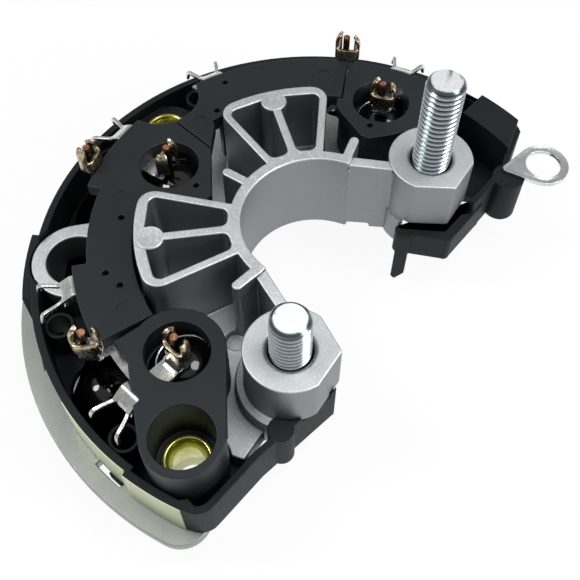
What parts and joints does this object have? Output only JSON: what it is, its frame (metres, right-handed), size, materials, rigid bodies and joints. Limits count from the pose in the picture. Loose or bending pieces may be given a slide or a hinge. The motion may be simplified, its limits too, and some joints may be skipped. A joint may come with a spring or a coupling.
{
  "type": "alternator rectifier plate",
  "caption": "Horseshoe alternator rectifier: finned positive casting over a flat negative plate, press-fit diodes, black moulded carrier, phase conductors and threaded output studs.",
  "frame": {"origin": "on the rotor shaft's axis, level with the underside of the negative plate", "axes": "+Z along the shaft's axis, from the negative plate towards the stud tips; +Y along the casting's line of symmetry, away from the open side; +X towards the long stud"},
  "size_m": [0.1289, 0.1009, 0.0528],
  "materials": {
    "plate_aluminium": "satin rolled sheet",
    "cast_aluminium": "bead-blasted casting",
    "carrier_plastic": "satin moulded",
    "block_plastic": "satin moulded",
    "diode_metal": "bright plated",
    "diode_seal": "glossy moulding resin",
    "diode_lead": "heat-tinted copper",
    "tinned_strip": "tinned, heat-tinted at the welds",
    "zinc_steel": "bright zinc plate",
    "yellow_zinc": "yellow passivated zinc",
    "ring_metal": "tinned"
  },
  "bodies": {
    "root": {"negative_plate": "plate_aluminium", "positive_heat_sink": "cast_aluminium", "carrier_base": "carrier_plastic", "terminal_block_1": "block_plastic", "terminal_block_2": "block_plastic", "terminal_block_3": "block_plastic", "terminal_block_4": "block_plastic", "positive_diode_cup_1": "diode_metal", "positive_diode_cup_2": "diode_metal", "positive_diode_cup_3": "diode_metal", "negative_diode_cup_1": "diode_metal", "negative_diode_cup_2": "diode_metal", "negative_diode_cup_3": "diode_metal", "positive_diode_seal_1": "diode_seal", "positive_diode_seal_2": "diode_seal", "positive_diode_seal_3": "diode_seal", "negative_diode_seal_1": "diode_seal", "negative_diode_seal_2": "diode_seal", "negative_diode_seal_3": "diode_seal", "positive_diode_lead_1": "diode_lead", "positive_diode_lead_2": "diode_lead", "positive_diode_lead_3": "diode_lead", "negative_diode_lead_1": "diode_lead", "negative_diode_lead_2": "diode_lead", "negative_diode_lead_3": "diode_lead", "phase_strip_1": "tinned_strip", "phase_strip_2": "tinned_strip", "phase_strip_3": "tinned_strip", "long_stud": "zinc_steel", "short_stud": "zinc_steel", "rivet_eyelet_1": "yellow_zinc", "rivet_eyelet_2": "yellow_zinc", "ring_terminal": "ring_metal"}
  },
  "joints": []
}
